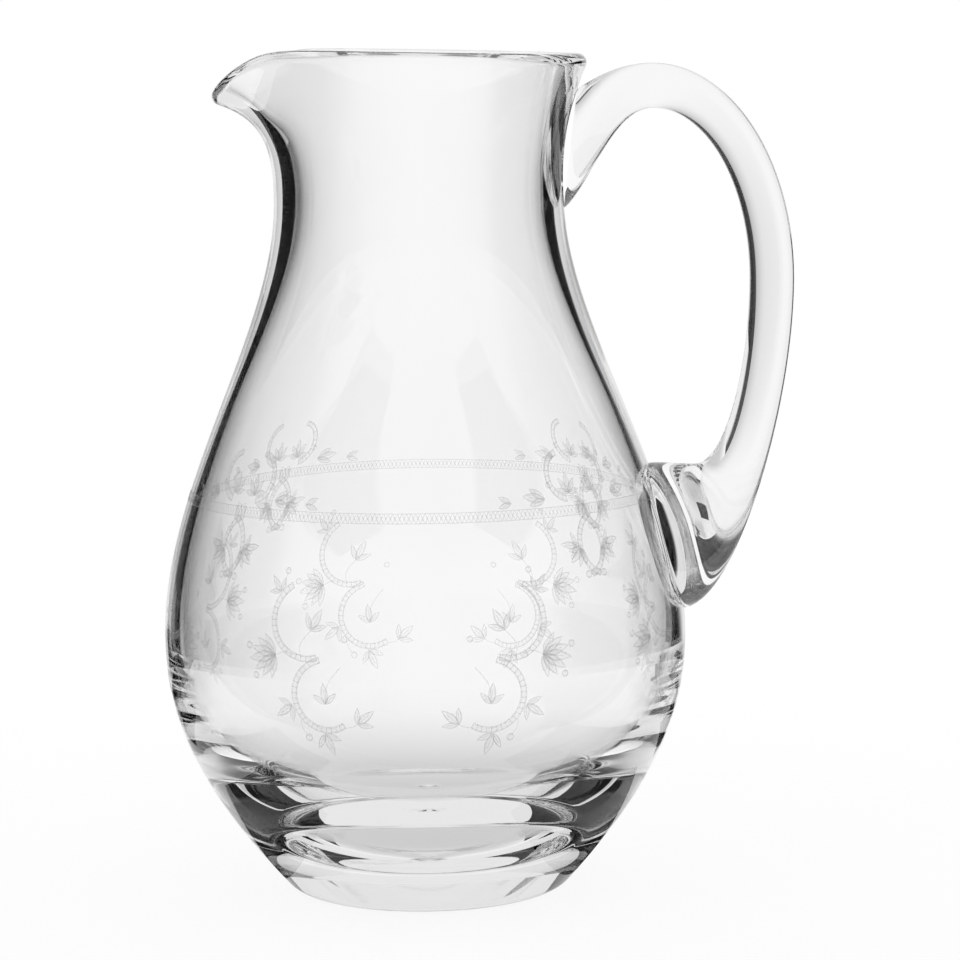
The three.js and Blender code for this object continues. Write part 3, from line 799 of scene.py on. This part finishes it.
class Net:
    """The nodes of a material or world, with short ways to add and link them."""

    def __init__(self, owner):
        owner.use_nodes = True
        self.nodes = owner.node_tree.nodes
        self.links = owner.node_tree.links

    def fill(self, node, inputs):
        """Link inputs of a node to other sockets, or set them to values."""
        for key, value in inputs.items():
            if isinstance(value, bpy.types.NodeSocket):
                self.links.new(value, node.inputs[key])
            else:
                node.inputs[key].default_value = value

    def add(self, kind, inputs, **settings):
        """Return a new node with some settings and inputs."""
        node = self.nodes.new("ShaderNode" + kind)
        for name, setting in settings.items():
            setattr(node, name, setting)
        self.fill(node, inputs)
        return node

    def math(self, operation, *values):
        """Return the output of a maths node."""
        return self.add("Math", dict(enumerate(values)), operation=operation).outputs["Value"]

    def mix(self, factor, first, second, kind="RGBA"):
        """Return a mix of two colours, or of two numbers."""
        inputs = {"Factor": factor, "A": first, "B": second}
        return self.add("Mix", inputs, data_type=kind).outputs["Result"]

    def shaders(self, factor, first, second):
        """Return a mix of two shaders."""
        return self.add("MixShader", {"Fac": factor, 1: first, 2: second}).outputs["Shader"]

    def glow(self, colour, strength):
        """Return a shader that only gives off light."""
        return self.add("Emission", {"Color": colour, "Strength": strength}).outputs["Emission"]

    def clear(self):
        """Return a shader that lets everything through."""
        return self.add("BsdfTransparent", {}).outputs["BSDF"]

    def show(self, shader):
        """Make a shader the material's surface."""
        self.add("OutputMaterial", {"Surface": shader})

    def place(self):
        """Return the coordinates of a point in the object's own frame."""
        return self.add("TexCoord", {}).outputs["Object"]

    def axes(self):
        """Return those coordinates one by one."""
        return self.add("SeparateXYZ", {"Vector": self.place()}).outputs

    def size(self, vector):
        """Return the length of a vector."""
        return self.add("VectorMath", {0: vector}, operation="LENGTH").outputs["Value"]

    def facing(self):
        """Return how far a surface is turned away from the light that reaches it."""
        return self.add("LayerWeight", {}).outputs["Facing"]

    def noise(self, scale, stretch, detail):
        """Return the value of a noise in the object's own coordinates."""
        mapping = self.add("Mapping", {"Vector": self.place(), "Scale": stretch})
        inputs = {"Vector": mapping.outputs["Vector"], "Scale": scale, "Detail": detail}
        return self.add("TexNoise", inputs).outputs["Fac"]

    def ranged(self, value, low, high, first, last):
        """Return a value carried gently from one range into another and held at its ends."""
        inputs = {"Value": value, "From Min": low, "From Max": high, "To Min": first, "To Max": last}
        return self.add("MapRange", inputs, interpolation_type="SMOOTHSTEP").outputs["Result"]

    def graded(self, value, stops):
        """Return brightness read off a row of stops, each a value and the brightness there."""
        low, high = stops[0][0], stops[-1][0]
        span = self.add("MapRange", {"Value": value, "From Min": low, "From Max": high})
        ramp = self.add("ValToRGB", {"Fac": span.outputs["Result"]})
        elements = ramp.color_ramp.elements
        for number, (place, brightness) in enumerate(stops):
            if number >= len(elements):
                elements.new(1.0)
            elements[number].position = (place - low) / (high - low)
            elements[number].color = (brightness, brightness, brightness, 1.0)
        return ramp.outputs["Color"]

    def seen_by_glass(self):
        """Return 1 for a ray that glass has bent or mirrored, and 0 for any other."""
        path = self.add("LightPath", {}).outputs
        return self.math("MAXIMUM", path["Is Glossy Ray"], path["Is Transmission Ray"])

    def mirrored(self, least, most):
        """Return 1 for a ray that glass has mirrored between so many times, and 0 for any other."""
        depth = self.add("LightPath", {}).outputs["Glossy Depth"]
        return self.math("COMPARE", depth, (least + most) / 2, (most - least + 1) / 2)


def new_material(name):
    """Return a material with its net and its Principled shader."""
    material = bpy.data.materials.new(name)
    net = Net(material)
    return material, net, net.nodes["Principled BSDF"]


def bare_material(name):
    """Return a material without any nodes, and its net."""
    material, net, _ = new_material(name)
    net.nodes.clear()
    return material, net


def glass_material(name, look, tint, streak):
    """Return clear glass with faint streaks and slow waves, its net and its shader."""
    material, net, shader = new_material(name)
    waves = net.noise(look.wave_scale, WAVE_STRETCH, WAVE_DETAIL)
    bump = net.add("Bump", {"Strength": 1.0, "Distance": look.wave, "Height": waves})
    net.fill(shader, {"Transmission Weight": 1.0, "IOR": look.index, "Roughness": 0.0})
    net.fill(shader, {"Normal": bump.outputs["Normal"], "Base Color": net.mix(waves, tint, streak)})
    return material, net, shader


def seat_material(name, look, seats, share):
    """Return the body's glass with no skin inside the seats: top, width and height of each oval."""
    material, net, shader = glass_material(name, look, look.tint, look.streak)
    outside = 1.0
    for top, width, height in seats:
        inputs = {"Scale": (0.0, 2 / width, 2 / height), "Location": (0.0, 0.0, 1 - 2 * top / height)}
        oval = net.add("Mapping", {"Vector": net.place(), **inputs}).outputs["Vector"]
        outside = net.math("MINIMUM", net.math("GREATER_THAN", net.size(oval), share), outside)
    net.fill(shader, {"Alpha": outside})
    return material


def seam_material(name):
    """Return a seam that light crosses as if the glass on both sides were one."""
    material, net, shader = new_material(name)
    net.fill(shader, {"Alpha": 0.0})
    return material


def engraving_material(name, look, shade, cover, transmission):
    """Return the matt skin that a cut leaves on glass, a little uneven and stronger at a slant."""
    material, net, shader = new_material(name)
    grain = net.noise(look.grain_scale, GRAIN_STRETCH, GRAIN_DETAIL)
    least, most = cover * (1 - look.grain), cover * (1 + look.grain)
    spread = net.add("MapRange", {"Value": grain, "To Min": least, "To Max": most}).outputs["Result"]
    slant = net.ranged(net.facing(), look.slant_start, look.slant_end, 1.0, look.slant_gain)
    inputs = {
        "Base Color": net.mix(grain, shade, look.tint),
        "Roughness": look.cut_roughness,
        "IOR": look.index,
        "Transmission Weight": transmission,
        "Alpha": net.math("MULTIPLY", spread, slant),
    }
    net.fill(shader, inputs)
    return material


def floor_material(studio):
    """Return white paper that takes a faint shadow and fades out towards the floor's edge; as glass shows
    it, the paper glows with painted light from the lit panel and a painted shadow round the jug's foot.
    """
    material, net = bare_material("studio_paper")
    radius = net.size(net.place())
    axes = net.axes()
    glass = net.seen_by_glass()
    whole = net.ranged(glass, 0.0, 1.0, studio.floor_white, studio.floor_graded)
    fade = net.ranged(radius, whole, studio.floor_edge, 0.0, 1.0)
    # Painted light: behind the jug's axis the paper glows as bright as the lit panel at that place across,
    # never dimmer than at its sides.
    across = net.math("MAXIMUM", net.graded(axes["X"], PANEL_STOPS), studio.paper_least_painted_light)
    behind = net.mix(net.ranged(axes["Y"], 0.0, studio.paper_start, 0.0, 1.0), 1.0, across, "FLOAT")
    # Painted shadow: as glass shows it, the paper's glow dims towards the jug's axis and is darkest round
    # its foot.
    graded = net.math("MULTIPLY", behind, net.graded(radius, PAINTED_PAPER_SHADOW_STOPS))
    glow = net.glow(studio.paper, net.mix(glass, 1.0, graded, "FLOAT"))
    paper = net.add("BsdfDiffuse", {"Color": studio.paper}).outputs["BSDF"]
    shaded = net.shaders(net.ranged(glass, 0.0, 1.0, studio.floor_shade, 0.0), glow, paper)
    net.show(net.shaders(fade, shaded, net.clear()))
    return material


def card_material(name, studio, times, turned):
    """Return black card that shows only in light mirrored so often, and when turned away so far."""
    material, net = bare_material(name)
    shown = net.math("MULTIPLY", net.mirrored(*times), net.math("GREATER_THAN", net.facing(), turned))
    net.show(net.shaders(shown, net.clear(), net.glow(studio.paper, studio.card_black)))
    return material


def surround_material(name, stops):
    """Return a surround with its brightness through glass by azimuth."""
    material, net = bare_material(name)
    axes = net.axes()
    degrees = net.math("DEGREES", net.math("ARCTAN2", net.math("MULTIPLY", axes["X"], -1.0), axes["Y"]))
    direct, mirrored = net.graded(degrees, stops), net.graded(degrees, MIRRORED_STOPS)
    net.show(net.glow(net.mix(net.mirrored(1, BOUNCES), direct, mirrored), 1.0))
    return material


def studio_world(studio):
    """Set a world that is white to camera and glass, and lights the object at a plain level."""
    world = bpy.data.worlds.new("studio_world")
    bpy.context.scene.world = world
    net = Net(world)
    camera = net.add("LightPath", {}).outputs["Is Camera Ray"]
    seen = net.math("MAXIMUM", camera, net.seen_by_glass())
    strength = net.ranged(seen, 0.0, 1.0, studio.lamp_level, 1.0)
    net.fill(net.nodes["Background"], {"Color": studio.paper, "Strength": strength})


def add_sheet(name, corners, faces, material):
    """Add a sheet of the studio."""
    sheet = new_object(name, corners, faces)
    sheet.data.materials.append(material)
    return sheet


def add_card(name, corners, faces, material):
    """Add a sheet that only the glass sees."""
    card = add_sheet(name, corners, faces, material)
    card.visible_camera = False
    card.visible_diffuse = False
    card.visible_shadow = False


def disc(radius, height):
    """Return the corners of a level disc."""
    turn = turns_of(DISC_SIDES)
    return np.column_stack((radius * np.cos(turn), radius * np.sin(turn), np.full(DISC_SIDES, height)))


def add_floor(studio):
    """Add the round paper floor."""
    corners = disc(studio.floor_edge, -studio.floor_drop)
    add_sheet("studio_floor", corners, [tuple(range(DISC_SIDES))], floor_material(studio))


def add_surround(studio):
    """Add the ground and the wall all round the jug, and the ceiling over them."""
    rings = (
        disc(studio.floor_edge, 0.0),
        disc(studio.surround_radius, 0.0),
        disc(studio.surround_radius, studio.surround_height),
    )
    edges = [(side, (side + 1) % DISC_SIDES) for side in range(DISC_SIDES)]
    walls = [(side, after, DISC_SIDES + after, DISC_SIDES + side) for side, after in edges]
    sheets = (("studio_ground", GROUND_STOPS), ("studio_wall", SURROUND_STOPS))
    for number, (name, stops) in enumerate(sheets):
        add_card(name, np.vstack(rings[number : number + 2]), walls, surround_material(name, stops))
    overhead, net = bare_material("studio_ceiling")
    net.show(net.glow(studio.paper, studio.ceiling))
    add_card("studio_ceiling", rings[-1], [tuple(range(DISC_SIDES))], overhead)


def add_panel(studio):
    """Add the lit panel close behind the jug."""
    material, net = bare_material("studio_panel")
    direct = net.graded(net.axes()["X"], PANEL_STOPS)
    net.show(net.glow(net.mix(net.mirrored(1, BOUNCES), direct, studio.panel_mirrored), 1.0))
    left, right = PANEL_STOPS[0][0], PANEL_STOPS[-1][0]
    top = studio.panel_height
    rise, inset = PANEL_NOTCH
    outline = ((left, 0.0), (right - inset, 0.0), (right, rise), (right, top), (left, top))
    corners = [(aside, studio.panel_distance, height) for aside, height in outline]
    add_card("studio_panel", corners, [tuple(range(len(corners)))], material)


def add_black_cards(studio):
    """Add the black cards that darken the sides of the jug, with the two mats beside its foot as painted
    shadow.
    """
    for name, times, turned, (left, front, low), (right, back, high) in CARDS:
        corners = [(left, front, low), (right, front, low), (right, back, high), (left, back, high)]
        name = "studio_" + name
        add_card(name, corners, [(0, 1, 2, 3)], card_material(name, studio, times, turned))


def add_camera(studio):
    """Add the camera at the photograph's angle."""
    turn = studio.camera_turn
    data = bpy.data.cameras.new("studio_camera")
    data.lens = studio.focal_length
    camera = bpy.data.objects.new("studio_camera", data)
    place = Vector((math.sin(turn), -math.cos(turn), 0.0)) * studio.camera_distance
    place.z = studio.camera_height
    aim = Vector((math.cos(turn), math.sin(turn), 0.0)) * studio.aim_aside
    aim.z = studio.aim_height
    looking = (aim - place).to_track_quat("-Z", "Y")
    camera.location = place
    camera.rotation_mode = "QUATERNION"
    camera.rotation_quaternion = looking @ Quaternion((0.0, 0.0, 1.0), -studio.camera_roll)
    bpy.context.scene.collection.objects.link(camera)
    bpy.context.scene.camera = camera


class JUG_OT_set_stage(bpy.types.Operator):
    """Add the studio: floor, lit panel, white world and camera"""

    bl_idname = "jug.set_stage"
    bl_label = "Set the stage"

    def execute(self, context):
        scene = context.scene
        for step in (add_camera, studio_world, add_floor, add_surround, add_panel, add_black_cards):
            step(scene.jug_studio)
        scene.view_settings.view_transform = "Standard"
        scene.cycles.max_bounces = BOUNCES
        scene.cycles.transmission_bounces = BOUNCES
        scene.cycles.glossy_bounces = BOUNCES
        scene.cycles.transparent_max_bounces = BOUNCES
        return {"FINISHED"}


class JUG_OT_blow_body(bpy.types.Operator):
    """Add the blown body of clear glass"""

    bl_idname = "jug.blow_body"
    bl_label = "Blow the body"

    def execute(self, context):
        size = context.scene.jug_body
        handle = context.scene.jug_handle
        look = context.scene.jug_look
        bearings = turns_of(BODY_SIDES)
        rings = np.stack([body_section(size, bearing) for bearing in bearings], axis=1)
        body = skin("body_glass", rings, (0.0, 0.0, size.pontil_depth), (0.0, 0.0, size.floor_wall))
        upper = size.rim_height - handle.upper_seat_drop
        lower = size.belly_height + handle.lower_seat_rise + handle.lower_seat_length
        seats = (
            (upper, handle.upper_seat_width, handle.upper_seat_length),
            (lower, handle.lower_seat_width, handle.lower_seat_length),
        )
        glass = glass_material("body_glass", look, look.tint, look.streak)[0]
        rows = np.zeros((BODY_SIDES, len(rings) + 1))
        rows[np.sin(bearings) > SEAT_SIDE, : UNDERSIDE_STEPS + len(wall_line(size))] = 1
        paint(body, (glass, seat_material("body_seats", look, seats, handle.fused_share)), rows)
        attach(body, "root")
        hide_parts("blown_body")
        return {"FINISHED"}


class JUG_OT_lay_on_handle(bpy.types.Operator):
    """Add the solid glass handle, fused to the neck and the belly"""

    bl_idname = "jug.lay_on_handle"
    bl_label = "Lay on the handle"

    def execute(self, context):
        body = context.scene.jug_body
        size = context.scene.jug_handle
        look = context.scene.jug_look
        line = wall_line(body)
        rod = handle_rings(body, size, line)
        upper, upper_pole = cap_rings(rod[0], line, size.core_depth)
        lower, lower_pole = cap_rings(rod[-1], line, size.core_depth)
        rings = np.stack(upper[::-1] + rod + lower)
        handle = skin("handle_glass", rings, upper_pole, lower_pole)
        glass = glass_material("handle_glass", look, look.rod_tint, look.rod_streak)[0]
        rows = np.ones((ROD_SIDES, len(rings) + 1))
        rows[:, CAP_STEPS + 1 : -CAP_STEPS - 1] = 0
        paint(handle, (glass, seam_material("handle_seam")), rows)
        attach(handle, "root")
        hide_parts("applied_handle")
        return {"FINISHED"}


class JUG_OT_engrave_body(bpy.types.Operator):
    """Add the engraved lattice band and the garlands under and over it"""

    bl_idname = "jug.engrave_body"
    bl_label = "Engrave the body"

    def execute(self, context):
        size = context.scene.jug_engraving
        look = context.scene.jug_look
        line = lower_outside(context.scene.jug_body)[UNDERSIDE_STEPS:]
        band = Tracery(line, size.line_relief)
        lines = Tracery(line, size.line_relief)
        ground = Tracery(line, size.matt_relief)
        draw_band(band, size)
        for panel in range(size.panels):
            edge = size.first_edge + 2 * math.pi * panel / size.panels
            for mirror in (1, -1):
                Garland(lines, ground, size, edge, mirror).draw()
        cut = engraving_material("engraved_cut", look, look.cut, look.cut_cover, look.cut_clear)
        matt = engraving_material("engraved_matt", look, look.matt, look.matt_cover, look.matt_clear)
        for tracery, name, material in (
            (band, "engraved_band", cut),
            (lines, "engraved_lines", cut),
            (ground, "engraved_ground", matt),
        ):
            piece = tracery.object(name)
            piece.data.materials.append(material)
            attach(piece, "root")
        return {"FINISHED"}


class JUG_PT_sidebar(bpy.types.Panel):
    """The jug's steps in the 3D view's sidebar"""

    bl_idname = "JUG_PT_sidebar"
    bl_label = "Handled glass jug"
    bl_space_type = "VIEW_3D"
    bl_region_type = "UI"
    bl_category = "Jug"

    def draw(self, context):
        for operator in OPERATORS:
            self.layout.operator(operator.bl_idname)


SETTINGS = {
    "jug_body": JugBodySizes,
    "jug_handle": JugHandleSizes,
    "jug_engraving": JugEngravingSizes,
    "jug_look": JugGlassLook,
    "jug_studio": JugStudio,
}
OPERATORS = (JUG_OT_set_stage, JUG_OT_blow_body, JUG_OT_lay_on_handle, JUG_OT_engrave_body)
CLASSES = (*SETTINGS.values(), *OPERATORS, JUG_PT_sidebar)


def register():
    """Register the classes and hang the settings on the scene."""
    for cls in CLASSES:
        bpy.utils.register_class(cls)
    for name, group in SETTINGS.items():
        setattr(bpy.types.Scene, name, bpy.props.PointerProperty(type=group))


def unregister():
    """Take the settings and the classes away again."""
    for name in SETTINGS:
        delattr(bpy.types.Scene, name)
    for cls in reversed(CLASSES):
        bpy.utils.unregister_class(cls)


def main():
    """Make the jug and its studio."""
    register()
    bpy.ops.jug.set_stage()
    bpy.ops.jug.blow_body()
    bpy.ops.jug.lay_on_handle()
    bpy.ops.jug.engrave_body()


if __name__ == "__main__":
    main()
